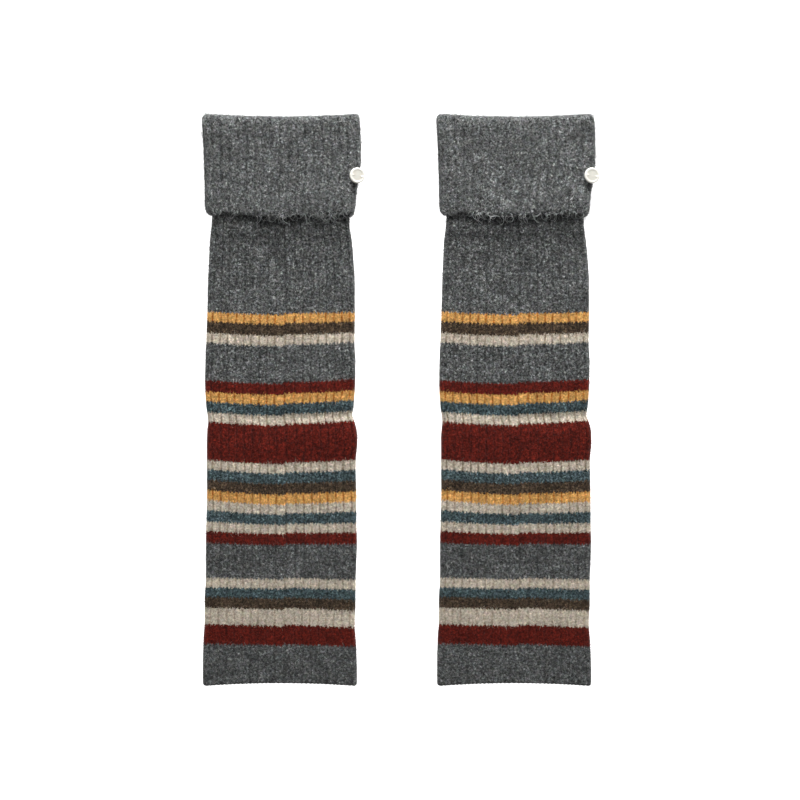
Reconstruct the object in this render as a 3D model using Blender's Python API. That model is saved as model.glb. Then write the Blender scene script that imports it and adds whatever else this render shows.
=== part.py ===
"""A pair of ribbed wool leg warmers laid flat, each with its top turned down as a cuff that has a button.

Every leg warmer is drawn in its own frame, in millimetres: x runs across it, y from the hem up to the fold
of the cuff, and z up from the surface that it lies on. A flattened knitted tube is a stack of closed rings,
one for each height in a table. A ring is a flat oval, straight along the top and bottom and round at both
side folds, and the ribs stand out of its top and sides. The underside rests flat.
"""

import math
from collections import namedtuple

import bmesh
import bpy
from mathutils import Matrix, Vector

MM = 0.001

# ---------------------------------------------------------------- driving dimensions, in millimetres
LENGTH = 457.5  # from the corners of the hem to the fold at the top of the cuff
PAIR_SPACING = 187.2  # between the middle lines of the two leg warmers
WALL = 2.2  # the knit, measured in the grooves between ribs
RIB_RISE = 0.9  # how far a rib stands above the grooves
SLIT = 0.6  # between the front and the back panel, laid on each other
CLEARANCE = 0.3  # between pieces that touch
LIP = 0.8  # how far the rounded edge of a hem bulges past its corners

# ---------------------------------------------------------------- ribs, along the top half of a ring
LEG_HALF_ROUND = 121.0  # the top half of a leg's ring, from side fold to side fold
LEG_RIB_PITCH = 6.35
LEG_SEAM_AT = 63.9  # the seam that closes the tube runs up the side that shows
LEG_SEAM_PITCH = 8.0  # the ribs on both sides of the seam are this wide
CUFF_HALF_ROUND = 129.6
CUFF_RIB_PITCH = 6.7
CUFF_GROOVE_AT = 69.7  # the groove that the others are counted from
RIB_SHOULDER = 0.27  # a rib is flat on top from this share of its width on
FOLD_STEPS = 3  # points round each quarter of a side fold
FLAT_SPANS = 6  # how many pieces the straight part of a plain ring or of an underside is made of
UNDER_SHARE = 0.02  # the lower quarter of a side fold takes this part of the way round a ring

# ---------------------------------------------------------------- layers under and in the cuff
LEG_FLAT = 2 * WALL + SLIT  # a leg's height, without its ribs
LEG_LIFT = WALL + CLEARANCE  # the leg lies this high inside the cuff
CUFF_INSIDE_TOP = LEG_LIFT + LEG_FLAT + RIB_RISE + CLEARANCE
CUFF_FLAT = CUFF_INSIDE_TOP + WALL
FOLD_RADIUS = 2.6  # how far the fold at the top reaches past its own middle line
FOLD_SIDE_RADIUS = 6.5  # the same at the rounded corners of the fold
FOLD_AT = LENGTH - FOLD_RADIUS
FOLD_TURN_STEPS = 6  # rings round the fold at the top
PARTING = 0.8  # from the turned-in end of the fold to the end of the leg, at the side folds

# ---------------------------------------------------------------- button
BUTTON_X, BUTTON_Y, BUTTON_Z = 58.9, 407.5, 11.8  # the middle of its back
BUTTON_LEAN = math.radians(12.0)  # towards the side fold that it is sewn to
BUTTON_TIP = math.radians(4.0)  # towards the fold at the top
BUTTON_RADIUS = 6.35
BUTTON_THICKNESS = 2.6
BUTTON_EDGE = 0.9  # radius of its rounded rim
DISH_RADIUS = 4.7
DISH_DEPTH = 0.45
DISH_SLOPE = 0.6  # how far in from its own edge the dish gets to its full depth
SHANK_RADIUS = 1.6
SHANK_LENGTH = 0.9
BUTTON_SEGMENTS = 32

# ---------------------------------------------------------------- edges over this angle look sharp, in degrees
CLOTH_CREASE = 50.0
BUTTON_CREASE = 40.0

# A row for each height. left and right are the outline, ribs included; bow is how far the middle of the row
# lies above its two sides and tilt how far its right side lies above its left side. low is the height of its
# underside over the surface, and puff how far the upper panel stands off the lower one there.
Section = namedtuple("Section", "height left right bow tilt low puff")

LEG_SECTIONS = [
    Section(0.8, -63.9, 58.5, 2.2, 0.0, 0.0, 0.0),
    Section(3.0, -64.4, 58.9, 2.1, -0.1, 0.0, 0.0),
    Section(16.0, -64.3, 58.8, 1.2, -0.7, 0.0, 0.2),
    Section(34.0, -63.9, 58.1, 0.4, -1.2, 0.0, 0.3),
    Section(58.0, -62.9, 57.3, 0.0, -1.1, 0.0, 0.2),
    Section(86.0, -62.1, 57.9, -0.5, -0.6, 0.0, 0.0),
    Section(116.0, -62.0, 58.8, -0.7, 0.2, 0.0, 0.2),
    Section(150.0, -61.2, 58.5, -1.5, 0.5, 0.0, 0.3),
    Section(180.0, -61.1, 58.4, -1.7, 1.0, 0.0, 0.5),
    Section(198.0, -61.1, 59.1, -1.6, 1.4, 0.0, 1.1),
    Section(208.0, -60.5, 58.0, -1.5, 1.8, 0.0, 0.8),
    Section(217.0, -60.9, 55.1, -1.5, 2.1, 0.0, -0.2),
    Section(228.0, -62.1, 56.6, -1.5, 2.1, 0.0, 0.3),
    Section(246.0, -62.7, 57.5, -1.5, 1.5, 0.0, 0.6),
    Section(290.0, -61.1, 57.2, -1.1, 0.4, 0.0, 0.2),
    Section(325.0, -60.2, 57.0, -1.3, 0.1, 0.0, 0.0),
    Section(345.0, -59.3, 55.5, -1.7, 0.0, 0.0, 0.0),
    Section(358.0, -58.6, 54.2, -2.0, 0.0, 0.7, 0.0),
    Section(370.0, -56.7, 52.7, -2.4, 0.0, LEG_LIFT, 0.0),
    Section(380.0, -56.8, 52.8, -2.4, 0.0, LEG_LIFT, 0.0),
    Section(400.0, -58.4, 54.4, -2.4, 0.0, LEG_LIFT, 0.0),
    Section(430.0, -59.8, 57.4, -2.4, 0.0, LEG_LIFT, 0.0),
    Section(FOLD_AT - PARTING, -61.2, 57.3, -2.1, 0.0, LEG_LIFT, 0.0),
]

CUFF_SECTIONS = [
    Section(375.4, -60.3, 56.3, -2.6, 0.0, 0.0, 0.0),
    Section(378.5, -61.7, 57.1, -2.6, 0.0, 0.0, 0.0),
    Section(386.0, -62.7, 57.8, -2.6, 0.0, 0.0, 0.0),
    Section(398.0, -63.0, 59.7, -2.5, 0.0, 0.0, 0.0),
    Section(407.0, -63.2, 61.6, -2.5, 0.0, 0.0, 0.0),
    Section(424.0, -63.7, 62.0, -2.4, 0.0, 0.0, 0.0),
    Section(444.0, -64.6, 61.7, -2.4, 0.0, 0.0, 0.0),
    Section(452.0, -65.2, 61.3, -2.4, 0.0, 0.0, 0.0),
    Section(FOLD_AT, -65.1, 61.2, -2.4, 0.0, 0.0, 0.0),
]

# An oval is the ring's shape without ribs. rise is the height of the ribs on it.
Oval = namedtuple("Oval", "left right low high rise")


# ---------------------------------------------------------------- rings
def rib_grooves(middle, middle_pitch, pitch, length):
    """The places of the grooves along the top half of a ring, from the middle one out to both side folds."""
    right = [middle, middle + middle_pitch]
    while right[-1] + pitch < length:
        right.append(right[-1] + pitch)
    left = [middle - middle_pitch]
    while left[-1] - pitch > 0.5 * pitch:
        left.append(left[-1] - pitch)
    return [place / length for place in reversed(left)] + [place / length for place in right]


def rib_points(grooves, shoulder):
    """(share of the top half, 0 in a groove or 1 on a rib) for every point across the top, from side fold to
    side fold: each rib has two points at the edges of its flat top."""
    first_edge = grooves[0] * (1.0 - shoulder)
    points = [(first_edge * step / FOLD_STEPS, 1.0) for step in range(FOLD_STEPS + 1)]
    for groove, following in zip(grooves, grooves[1:] + [None]):
        points.append((groove, 0.0))
        width = (following or groove + grooves[1] - grooves[0]) - groove
        points.append((groove + shoulder * width, 1.0))
        if following:
            points.append((following - shoulder * width, 1.0))
    last_edge = points[-1][0]
    points += [((last_edge + 1.0) / 2, 1.0), (1.0, 1.0)]
    return [point for point in points if point[0] <= 1.0]


LEG_GROOVES = rib_grooves(LEG_SEAM_AT, LEG_SEAM_PITCH, LEG_RIB_PITCH, LEG_HALF_ROUND)
CUFF_GROOVES = rib_grooves(CUFF_GROOVE_AT, CUFF_RIB_PITCH, CUFF_RIB_PITCH, CUFF_HALF_ROUND)
LEG_RIBS = rib_points(LEG_GROOVES, RIB_SHOULDER)
CUFF_RIBS = rib_points(CUFF_GROOVES, RIB_SHOULDER)
PLAIN = None  # a ring without ribs


def oval_point(oval, share):
    """The point and the outward direction at that share of the way over the top of the oval, in xz."""
    radius = (oval.high - oval.low) / 2
    middle = (oval.high + oval.low) / 2
    quarter = math.pi * radius / 2
    straight = oval.right - oval.left - 2 * radius
    along = share * (2 * quarter + straight)
    if along < quarter:
        angle = math.pi - along / radius
        centre = oval.left + radius
    elif along > quarter + straight:
        angle = math.pi / 2 - (along - quarter - straight) / radius
        centre = oval.right - radius
    else:
        return oval.left + radius + along - quarter, oval.high, 0.0, 1.0
    return (
        centre + radius * math.cos(angle),
        middle + radius * math.sin(angle),
        math.cos(angle),
        math.sin(angle),
    )


def plain_points(oval):
    """The points across the top of a ring without ribs: steps round each side fold and the straight top."""
    quarter = math.pi * (oval.high - oval.low) / 4
    straight = oval.right - oval.left - (oval.high - oval.low)
    places = [quarter * step / FOLD_STEPS for step in range(FOLD_STEPS)]
    places += [quarter + straight * step / FLAT_SPANS for step in range(FLAT_SPANS + 1)]
    places += [quarter + straight + quarter * step / FOLD_STEPS for step in range(1, FOLD_STEPS + 1)]
    return [(place / places[-1], 1.0) for place in places]


def ring(section, oval, ribs):
    """The ring's points and their parameters, 0 to 1 round it: over the top from left to right, then back
    under the oval, which is flat below. The ribs fade out below the side folds."""
    radius = (oval.high - oval.low) / 2
    middle = (oval.high + oval.low) / 2
    flat, shares = [], []
    for share, on_rib in ribs or plain_points(oval):
        x, z, out_x, out_z = oval_point(oval, share)
        flat.append((x + out_x * on_rib * oval.rise, z + out_z * on_rib * oval.rise))
        shares.append(share / 2)
    under = []
    for step in range(1, FOLD_STEPS + 1):
        angle = math.pi / 2 * step / FOLD_STEPS
        reach = (radius + oval.rise * math.cos(angle) ** 2) * math.cos(angle)
        under.append((reach, middle - radius * math.sin(angle), UNDER_SHARE * step / FOLD_STEPS))
    for reach, z, turned in under:
        flat.append((oval.right - radius + reach, z))
        shares.append(0.5 + turned)
    for step in range(1, FLAT_SPANS):
        done = step / FLAT_SPANS
        flat.append((oval.right - radius + done * (oval.left - oval.right + 2 * radius), oval.low))
        shares.append(0.5 + UNDER_SHARE + done * (0.5 - 2 * UNDER_SHARE))
    for reach, z, turned in reversed(under):
        flat.append((oval.left + radius - reach, z))
        shares.append(1.0 - turned)
    half_width = (section.right - section.left) / 2
    centre_x = (section.right + section.left) / 2
    points = []
    for x, z in flat:
        across = max(-1.0, min(1.0, (x - centre_x) / half_width))
        y = section.height + section.bow * (1.0 - across**2) + section.tilt * across / 2
        points.append(Vector((x, y, z)))
    return points, shares


def outer_oval(section, flat_height):
    """The outside of the tube at that section, measured in the grooves."""
    high = section.low + flat_height + section.puff
    return Oval(section.left + RIB_RISE, section.right - RIB_RISE, section.low, high, RIB_RISE)


def inset(oval, side, below, above, rise):
    """The oval drawn in by these amounts at its sides, its underside and its top."""
    return Oval(oval.left + side, oval.right - side, oval.low + below, oval.high - above, rise)


# ---------------------------------------------------------------- meshes
def stitch(first, second, faces):
    """Fills the band between two rings, given as (index of the first point, parameters), with quads where
    they match and triangles where one ring has more points."""
    (start_a, a), (start_b, b) = first, second
    if len(a) == len(b):
        count = len(a)
        for i in range(count):
            j = (i + 1) % count
            faces.append((start_a + i, start_a + j, start_b + j, start_b + i))
        return
    i = j = 0
    while i < len(a) or j < len(b):
        next_a = a[i + 1] if i + 1 < len(a) else 1.0 + a[0]
        next_b = b[j + 1] if j + 1 < len(b) else 1.0 + b[0]
        on_a, on_b = start_a + i % len(a), start_b + j % len(b)
        if j >= len(b) or (i < len(a) and next_a <= next_b):
            faces.append((on_a, start_a + (i + 1) % len(a), on_b))
            i += 1
        else:
            faces.append((on_a, start_b + (j + 1) % len(b), on_b))
            j += 1


def make_object(name, points, faces, material, sharp_degrees):
    """A mesh object in metres, from points in millimetres, with its faces turned outwards."""
    mesh = bpy.data.meshes.new(name)
    mesh.from_pydata([tuple(point * MM) for point in points], [], faces)
    work = bmesh.new()
    work.from_mesh(mesh)
    bmesh.ops.recalc_face_normals(work, faces=work.faces)
    work.to_mesh(mesh)
    work.free()
    mesh.shade_smooth()
    mesh.set_sharp_from_angle(angle=math.radians(sharp_degrees))
    mesh.materials.append(material)
    return bpy.data.objects.new(name, mesh)


def closed_wall(name, rings, material):
    """A wall of cloth as one closed body: its rings run up the outside and back down the inside."""
    points, faces, bands = [], [], []
    for ring_points, shares in rings:
        bands.append((len(points), shares))
        points += ring_points
    for first, second in zip(bands, bands[1:] + bands[:1]):
        stitch(first, second, faces)
    return make_object(name, points, faces, material, CLOTH_CREASE)


def lip(section, oval, ribs):
    """The rounded edge of a hem: a ring half-way through the wall, pushed out past the edge."""
    edge = section._replace(height=section.height - LIP)
    return ring(edge, inset(oval, WALL / 2, WALL / 2, WALL / 2, RIB_RISE / 2), ribs)


def leg(name, material):
    """The tube below and inside the cuff. Its front and back panels lie on each other with a slit between."""
    ovals = [outer_oval(section, LEG_FLAT) for section in LEG_SECTIONS]
    rings = [lip(LEG_SECTIONS[0], ovals[0], LEG_RIBS)]
    rings += [ring(section, oval, LEG_RIBS) for section, oval in zip(LEG_SECTIONS, ovals)]
    for section, oval in reversed(list(zip(LEG_SECTIONS, ovals))):
        rings.append(ring(section, inset(oval, WALL, WALL, WALL, 0.0), PLAIN))
    return closed_wall(name, rings, material)


def fold_rings(section, oval):
    """The fold at the top of the cuff: its outside turns over and back down into the opening of the tube."""
    above = (oval.high - (LEG_LIFT + WALL + SLIT)) / 2
    below = (LEG_LIFT + WALL) / 2
    rings = []
    for step in range(1, FOLD_TURN_STEPS + 1):
        angle = math.pi * step / FOLD_TURN_STEPS
        turned = 1.0 - math.cos(angle)
        rise = RIB_RISE * math.cos(angle / 2) ** 2
        shape = inset(oval, FOLD_SIDE_RADIUS * turned, below * turned, above * turned, rise)
        level = section._replace(height=section.height + FOLD_RADIUS * math.sin(angle))
        rings.append(ring(level, shape, CUFF_RIBS))
    return rings


def cuff(name, material):
    """The turned-down stretch of the tube, with the fold at its top. The leg lies inside it."""
    ovals = [outer_oval(section, CUFF_FLAT) for section in CUFF_SECTIONS]
    rings = [lip(CUFF_SECTIONS[0], ovals[0], CUFF_RIBS)]
    rings += [ring(section, oval, CUFF_RIBS) for section, oval in zip(CUFF_SECTIONS, ovals)]
    top, top_oval = CUFF_SECTIONS[-1], ovals[-1]
    rings += fold_rings(top, top_oval)
    for section, oval in reversed(list(zip(CUFF_SECTIONS, ovals))):
        rings.append(ring(section, inset(oval, WALL, WALL, WALL, 0.0), PLAIN))
    return closed_wall(name, rings, material)


def button(name, material):
    """A turned disc with a rounded rim, a shallow dish in its face and a shank behind it."""
    rim, top = BUTTON_RADIUS - BUTTON_EDGE, BUTTON_THICKNESS
    profile = [(SHANK_RADIUS, -SHANK_LENGTH), (SHANK_RADIUS, 0.0), (rim, 0.0)]
    for degrees in (-45.0, 0.0, 45.0, 90.0):
        angle = math.radians(degrees)
        middle = BUTTON_EDGE if degrees <= 0 else top - BUTTON_EDGE
        profile.append((rim + BUTTON_EDGE * math.cos(angle), middle + BUTTON_EDGE * math.sin(angle)))
    profile += [(DISH_RADIUS, top), (DISH_RADIUS - DISH_SLOPE, top - DISH_DEPTH)]
    points, faces = [], []
    for radius, height in profile:
        for step in range(BUTTON_SEGMENTS):
            angle = 2 * math.pi * step / BUTTON_SEGMENTS
            points.append(Vector((radius * math.cos(angle), radius * math.sin(angle), height)))
    for row in range(len(profile) - 1):
        for step in range(BUTTON_SEGMENTS):
            following = (step + 1) % BUTTON_SEGMENTS
            low, high = row * BUTTON_SEGMENTS, (row + 1) * BUTTON_SEGMENTS
            faces.append((low + step, low + following, high + following, high + step))
    faces.append(tuple(range(BUTTON_SEGMENTS)))
    last = (len(profile) - 1) * BUTTON_SEGMENTS
    faces.append(tuple(range(last, last + BUTTON_SEGMENTS)))
    made = make_object(name, points, faces, material, BUTTON_CREASE)
    place = Matrix.Translation(Vector((BUTTON_X, BUTTON_Y, BUTTON_Z)) * MM)
    made.matrix_world = place @ Matrix.Rotation(BUTTON_LEAN, 4, "Y") @ Matrix.Rotation(-BUTTON_TIP, 4, "X")
    return made


# ---------------------------------------------------------------- materials and the pair
def principled(name, colour, roughness):
    material = bpy.data.materials.new(name)
    material.use_nodes = True
    shader = material.node_tree.nodes["Principled BSDF"]
    shader.inputs["Base Color"].default_value = (*colour, 1.0)
    shader.inputs["Roughness"].default_value = roughness
    shader.inputs["Metallic"].default_value = 0.0
    material.diffuse_color = (*colour, 1.0)
    return material


def middle_of(pieces):
    """The middle of the box round the pair, in metres, seen from above."""
    corners = [piece.matrix_world @ vertex.co for piece in pieces for vertex in piece.data.vertices]
    half = PAIR_SPACING / 2 * MM
    x_low = min(corner.x for corner in corners) - half
    x_high = max(corner.x for corner in corners) + half
    return (x_low + x_high) / 2, (min(c.y for c in corners) + max(c.y for c in corners)) / 2


def main():
    for stale in list(bpy.data.objects):
        bpy.data.objects.remove(stale)
    wool = principled("charcoal_wool", (0.085, 0.088, 0.090), 0.95)
    turned_wool = principled("turned_charcoal_wool", (0.115, 0.118, 0.120), 0.95)
    pearl = principled("pearl_button", (0.80, 0.78, 0.72), 0.25)
    for side, name in ((-1, "left"), (1, "right")):
        pieces = (
            leg(f"{name}_leg", wool),
            cuff(f"{name}_cuff", turned_wool),
            button(f"{name}_button", pearl),
        )
        middle_x, middle_y = middle_of(pieces)
        place = Matrix.Translation((side * PAIR_SPACING / 2 * MM - middle_x, -middle_y, 0.0))
        for piece in pieces:
            bpy.context.scene.collection.objects.link(piece)
            piece.matrix_world = place @ piece.matrix_world


main()
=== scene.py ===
# %% [markdown]
# # A pair of ribbed, striped leg warmers, laid flat
# On the real object each leg warmer is one knitted tube. It was knitted flat as a 2 by 1 rib, in
# wool that is brushed until it felts a little, and sewn up along one seam. Laid on a table, the
# tube is two panels on each other, and its top is turned down once to make a cuff.
# This file dresses the plain solids of that pair. It could hang pictures of knitting on them, but
# here every rib, stitch, fibre and colour is worked out, so it also holds from close by.

# %% Load the solid model and keep its box
from collections import namedtuple
from functools import reduce

import bpy
import numpy as np
from mathutils import Matrix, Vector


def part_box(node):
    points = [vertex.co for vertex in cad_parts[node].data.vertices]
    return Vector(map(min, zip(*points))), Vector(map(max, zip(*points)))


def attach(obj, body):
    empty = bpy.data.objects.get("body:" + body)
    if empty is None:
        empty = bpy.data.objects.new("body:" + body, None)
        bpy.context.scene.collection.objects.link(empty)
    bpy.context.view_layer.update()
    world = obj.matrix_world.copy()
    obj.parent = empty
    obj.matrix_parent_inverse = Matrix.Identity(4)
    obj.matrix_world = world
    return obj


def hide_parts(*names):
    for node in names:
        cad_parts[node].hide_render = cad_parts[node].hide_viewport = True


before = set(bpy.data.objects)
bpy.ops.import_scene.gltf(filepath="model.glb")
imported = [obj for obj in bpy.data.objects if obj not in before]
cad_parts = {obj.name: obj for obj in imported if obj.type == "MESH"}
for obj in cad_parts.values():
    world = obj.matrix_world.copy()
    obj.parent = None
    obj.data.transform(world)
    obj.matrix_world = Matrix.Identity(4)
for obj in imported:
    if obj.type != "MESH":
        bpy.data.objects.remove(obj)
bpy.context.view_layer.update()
MM = 0.001
print("nodes:", sorted(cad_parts))

# %% [markdown]
# ## Where each leg warmer lies
# A knitter measures from the hem, so every shape below is worked out in millimetres: x across one
# leg warmer, y up from its hem, z up from the table. A piece could be made at the origin and then
# moved, but finished pieces keep their object at the origin, so the place is added to the points.

# %% The place of each leg warmer, read from the corners of its solids
CUFF_REACH = 65.2  # how far the cuff reaches left of the leg warmer's own middle line
SIDES = ("left", "right")


def place_of(side):
    """The point, in mm, where a leg warmer's own x = 0 and y = 0 lie in the scene."""
    cuff_low, leg_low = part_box(side + "_cuff")[0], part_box(side + "_leg")[0]
    return np.array([cuff_low[0] / MM + CUFF_REACH, leg_low[1] / MM, 0.0])


def both(make, seeds, *rest, **more):
    """The same piece for each leg warmer, made with its own seed."""
    return {side: make(side, seed, *rest, **more) for side, seed in zip(SIDES, seeds)}


for side in SIDES:
    print(side, "lies at, mm:", place_of(side).round(2))

# %% [markdown]
# ## Tables of sections
# The outline of a soft thing is easiest to keep in a short table: one row for each height where
# something changes. Straight lines between the rows would show as corners, so the values are
# joined by a smooth curve that never overshoots a row, which is how a pattern cutter draws.

# %% Tables with named columns, and a smooth way to read them
def table(text):
    """A dictionary of columns, from a line of names and then a line of numbers for each row."""
    names, *rows = [line.split() for line in text.strip().splitlines()]
    return dict(zip(names, np.array(rows, dtype=float).T))


def read_off(section_table, column, places):
    """Cubic curve through the column, along the table's first column. The slope at a row is the
    harmonic mean of the slopes on both sides of it, or zero where they have different signs, so
    the curve doesn't overshoot."""
    x, y = next(iter(section_table.values())), section_table[column]
    step, rise = np.diff(x), np.diff(y)
    slope = rise / step
    before, after = slope[:-1], slope[1:]
    total = np.where(before * after > 0, before + after, 1.0)
    inner = np.where(before * after > 0, 2.0 * before * after / total, 0.0)
    slopes = np.concatenate([slope[:1], inner, slope[-1:]])
    at = np.clip(places, x[0], x[-1])
    k = np.clip(np.searchsorted(x, at) - 1, 0, len(step) - 1)
    t = (at - x[k]) / step[k]
    return (
        y[k] * (1 + 2 * t) * (1 - t) ** 2
        + slopes[k] * step[k] * t * (1 - t) ** 2
        + y[k + 1] * t**2 * (3 - 2 * t)
        + slopes[k + 1] * step[k] * t**2 * (t - 1)
    )


# %% The leg: its outline, how its courses lie, and how high it is
WALL = 2.2  # the knit in the grooves between ribs
RIB_RISE = 0.9
SLIT = 0.6  # between the two panels
CLEARANCE = 0.3  # between the leg and the cuff round it
LEG_FLAT = 2 * WALL + SLIT
LEG_LIFT = WALL + CLEARANCE
CUFF_FLAT = LEG_LIFT + LEG_FLAT + RIB_RISE + CLEARANCE + WALL

LEG = table(
    """
    height left right bow tilt low puff
    0.8 -63.9 58.5 2.2 0 0 0
    3 -64.4 58.9 2.1 -0.4 0 0
    16 -64.4 58.8 1.2 -2.0 0 0.2
    36 -63.9 58.1 0.4 -3.8 0 0.3
    52 -62.9 57.0 0.4 -4.0 0 0.2
    68 -62.9 57.7 0.3 -3.9 0 0.1
    84 -62.0 57.8 0.1 -3.1 0 0
    116 -62.0 58.8 -0.9 -2.3 0 0.2
    132 -61.5 58.5 -1.9 -2.5 0 0.3
    152 -61.1 58.3 -2.9 -2.5 0 0.3
    180 -61.2 57.9 -2.9 -1.4 0 0.5
    196 -61.2 59.1 -2.8 -0.9 0 1.1
    204 -60.9 58.7 -2.8 -0.7 0 1.0
    211 -60.2 57.2 -2.8 -0.5 0 0.5
    217 -60.8 55.2 -2.8 -0.4 0 -0.2
    224 -61.8 56.2 -2.8 -0.3 0 0.2
    244 -62.7 57.4 -2.7 -0.4 0 0.6
    260 -62.4 57.6 -2.7 -0.9 0 0.4
    276 -61.7 56.9 -2.5 -1.1 0 0.3
    298 -60.9 57.2 -1.7 -1.6 0 0.2
    324 -60.3 57.1 -1.8 -1.0 0 0
    340 -59.6 56.2 -1.9 -0.7 0 0
    356 -58.8 54.7 -2.1 -0.3 0.24 -0.2
    368 -57.4 53.0 -2.4 0 1 -0.4
    380 -56.8 52.8 -2.4 0 1 -0.4
    400 -58.4 54.4 -2.4 0 1 0
    430 -59.8 57.4 -2.4 0 1 0
    454.1 -61.2 57.3 -2.1 0 1 0
    """
)
LEG["low"] *= LEG_LIFT  # written above as a share of the lift inside the cuff

# %% The cuff: the same, from its lower edge to the fold
CUFF = table(
    """
    height left right bow tilt low puff
    378.8 -60.0 54.9 -2.4 0 0 0.8
    379.8 -61.4 56.2 -2.4 0 0 1.2
    382 -62.2 57.1 -2.5 0 0 1.5
    386 -62.7 57.6 -2.6 0 0 1.5
    398 -63.0 59.2 -2.5 0 0 1.0
    407 -63.2 61.1 -2.5 0 0 0.4
    424 -63.7 62.4 -2.4 0 0 0
    444 -64.6 62.1 -2.4 0 0 0
    452 -65.2 61.6 -2.4 0 0 0
    453.1 -65.1 61.4 -2.4 0 0 0
    """
)
EDGE_AT, FOLD_AT = CUFF["height"][[0, -1]]
FOLD_RADIUS, FOLD_SIDE_RADIUS = 4.4, 4.0
print("leg rows:", len(LEG["height"]), "cuff rows:", len(CUFF["height"]))

# %% [markdown]
# ## A flattened tube
# Cut through a tube that lies flat, and the cut is a flat oval: two straight panels joined by a
# half round at each side fold. One number runs round it, 0 to 1 over the top and 1 to 2 back
# underneath, so a whole grid of points comes from one formula with no loop.

# %% The oval, as a function of the way round it
def flat_oval(round_share, left, right, low, high):
    """The point (x, z) and the outward direction on the oval. The way along one half is the
    share times two quarter rounds and the straight panel. It turns a quarter round, runs
    straight, and turns another quarter round. The lower half is the same, half a turn on."""
    radius = (high - low) / 2
    quarter = np.pi / 2 * radius
    straight = right - left - 2 * radius
    under = round_share >= 1
    along = (round_share - under) * (2 * quarter + straight)
    turn = np.clip(along, 0, quarter) + np.clip(along - quarter - straight, 0, quarter)
    angle = np.where(under, 0.0, np.pi) - turn / radius
    run = np.clip(along - quarter, 0, straight)
    centre = np.where(under, right - radius - run, left + radius + run)
    out_x, out_z = np.cos(angle), np.sin(angle)
    return centre + radius * out_x, (low + high) / 2 + radius * out_z, out_x, out_z


# %% [markdown]
# ## Ribs, wales and courses
# A 2 by 1 rib repeats two columns of knit stitches, which stand out, and one of purl stitches,
# which sinks into a groove between them. A column is called a wale and a row a course. The ribs
# are numbered round the tube: a whole number is a groove, and a half is the middle of a rib.

# %% Number the ribs round the tube
COURSE = 2.05  # the height of one row of stitches


class Ribs:
    """Ribs counted along the top half of a ring, whose length is half_round, out from one groove.
    The underside carries on at the same pace, stretched so that the count closes. The slope is
    the share of half a rib over which its side rises."""

    def __init__(self, half_round, groove, pitch, first_pitch, slope):
        self.slope = slope
        right = np.append(groove, np.arange(groove + first_pitch, half_round, pitch))
        left = np.arange(groove - first_pitch, 0.0, -pitch)[::-1]
        grooves = np.concatenate([left[:1] - pitch, left, right, right[-1:] + pitch])
        numbers = np.arange(len(grooves)) - len(left) - 1
        self.start, self.end = np.interp([0.0, half_round], grooves, numbers)
        self.count = int(round(self.end - self.start + half_round / pitch))
        inside = (grooves > 0) & (grooves < half_round)
        self.shares = np.concatenate([[0.0], grooves[inside] / half_round, [1.0, 2.0]])
        ends = [self.end, self.start + self.count]
        self.numbers = np.concatenate([[self.start], numbers[inside], ends])

    def number(self, share):
        return np.interp(share, self.shares, self.numbers)

    def columns(self, phases, under_columns):
        """The shares of the grid's columns: those phases of every rib on top, then the underside,
        with short steps round the side folds."""
        ribs = np.arange(np.floor(self.start), np.ceil(self.end))
        numbers = (ribs[:, None] + np.array(phases)).ravel()
        numbers = numbers[(numbers > self.start) & (numbers < self.end)]
        on_top = np.interp(numbers, self.numbers[:-1], self.shares[:-1])
        fold = 0.009 * np.arange(5)
        flat = np.linspace(0.06, 0.94, under_columns)
        return np.concatenate([[0.0], on_top, 1 + fold, 1 + flat, 2 - fold[:0:-1]])


LEG_RIBS = Ribs(half_round=121.0, groove=63.9, pitch=6.35, first_pitch=8.0, slope=0.30)
CUFF_RIBS = Ribs(half_round=129.6, groove=69.7, pitch=6.7, first_pitch=6.7, slope=0.62)
print("ribs round the leg:", LEG_RIBS.count, "and round the cuff:", CUFF_RIBS.count)

# %% The relief of ribs and stitches
GROOVE_EDGE = 0.76  # a rib ends here, on the way from its middle, 0, to the groove, 1
STITCH_RISE = 0.10


def smooth(value):
    """0 below 0, 1 above 1, and 3 v² - 2 v³ between."""
    v = np.clip(value, 0, 1)
    return v * v * (3 - 2 * v)


def rib_relief(number, slope):
    """How far a rib stands out, 0 to 1: sloping sides, a flat top and a shallow dip between its
    two wales."""
    from_middle = np.abs(2 * (number % 1.0) - 1)
    side = smooth((1 - from_middle) / slope)
    return side * (1 - 0.16 * smooth(1 - from_middle / 0.2))


def stitch_relief(number, along):
    """Rows of V stitches: a wave along the wale, half a course later at its edges."""
    from_middle = np.abs(2 * (number % 1.0) - 1)
    across = np.abs(from_middle / (GROOVE_EDGE / 2) - 1)
    return np.cos(2 * np.pi * (along / COURSE + 0.5 * across)) * (from_middle < 0.9)


def hill(off, reach):
    """1 where off is 0, falling away on both sides: e to the power of minus (off / reach)²."""
    return np.exp(-((off / reach) ** 2))


def unevenness(x, y, seed, shortest=22.0, longest=95.0, waves=9):
    """Soft hills, about -1 to 1: a sum of slanted waves with seeded directions and lengths."""
    rng = np.random.default_rng(seed)
    total = 0.0
    for length in np.geomspace(shortest, longest, waves):
        turn, start = rng.uniform(0, np.pi), rng.uniform(0, 2 * np.pi)
        along = x * np.cos(turn) + y * np.sin(turn)
        total = total + np.sin(2 * np.pi * along / length + start)
    return total / np.sqrt(waves)


# %% [markdown]
# ## Cloth as one closed wall
# A knit is 2 to 3 mm thick, and the edge of a hem shows it. The wall could be one skin with a
# Solidify modifier, but then the inside would copy every stitch. Here the rings simply run up the
# outside, over the top, and back down the inside, and the last ring joins the first.

# %% From rows of rings to points
LIP = 0.8  # how far a hem's rounded edge reaches
SCALLOP = 0.3  # a hem's edge waves with the wales, by this share of its lip
PUFF_EASE = 0.9  # a puff grows over this much of the half width, from the left


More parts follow.
